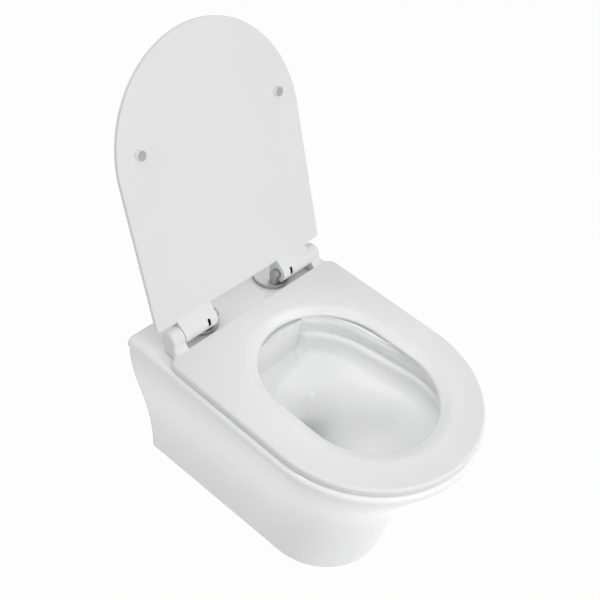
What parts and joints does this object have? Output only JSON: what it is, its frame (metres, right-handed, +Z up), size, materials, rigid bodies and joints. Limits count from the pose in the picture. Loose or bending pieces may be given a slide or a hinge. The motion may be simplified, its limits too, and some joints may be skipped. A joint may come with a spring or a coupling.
{
  "type": "wall hung toilet",
  "caption": "Wall-hung toilet with a rimless glazed bowl, internal trap and hollow skirt, hung on wall studs, with a slim seat and lid on soft-close hinges.",
  "frame": {"origin": "point on the finished wall midway between the two fixing studs", "axes": "+Z up, +Y into the wall, so the bowl stands out along -Y; +X to the right for someone facing the wall"},
  "size_m": [0.36, 0.5805, 0.7198],
  "materials": {
    "ceramic": "glossy white glaze",
    "seat_plastic": "glossy white moulding",
    "white_plastic": "satin white",
    "steel": "satin brushed",
    "zinc": "zinc plated",
    "brass": "plain",
    "nylon": "matte",
    "grey_rubber": "soft matte grey",
    "soft_gasket": "translucent white",
    "black_rubber": "matte"
  },
  "bodies": {
    "pan": {"pan": "ceramic", "flush_splitter": "white_plastic", "stud_sleeve_right": "zinc", "stud_sleeve_left": "zinc", "grub_screw_right": "steel", "grub_screw_left": "steel", "inlet_seal": "black_rubber", "hinge_bolt_right": "steel", "hinge_bolt_left": "steel", "rubber_plug_right": "black_rubber", "rubber_plug_left": "black_rubber", "cone_nut_right": "brass", "cone_nut_left": "brass", "hinge_gasket_right": "soft_gasket", "hinge_gasket_left": "soft_gasket", "hinge_post_right": "steel", "hinge_post_left": "steel", "hinge_cover_right": "steel", "hinge_cover_left": "steel", "hinge_pin_right": "steel", "hinge_pin_left": "steel"},
    "seat": {"seat_ring": "seat_plastic", "seat_pads": "grey_rubber", "seat_bush": "nylon", "seat_damper": "nylon"},
    "lid": {"lid": "seat_plastic", "lid_pads": "grey_rubber", "lid_bush_right": "nylon", "lid_bush_left": "nylon", "lid_damper": "nylon"}
  },
  "joints": [
    {"name": "seat_hinge", "type": "hinge", "parent": "pan", "child": "seat", "pos_m": [0, -0.058, 0.104], "axis": [-1, 0, 0], "range_deg": [0, 80]},
    {"name": "lid_hinge", "type": "hinge", "parent": "seat", "child": "lid", "pos_m": [0, -0.058, 0.104], "axis": [-1, 0, 0], "range_deg": [-112, 0]}
  ]
}
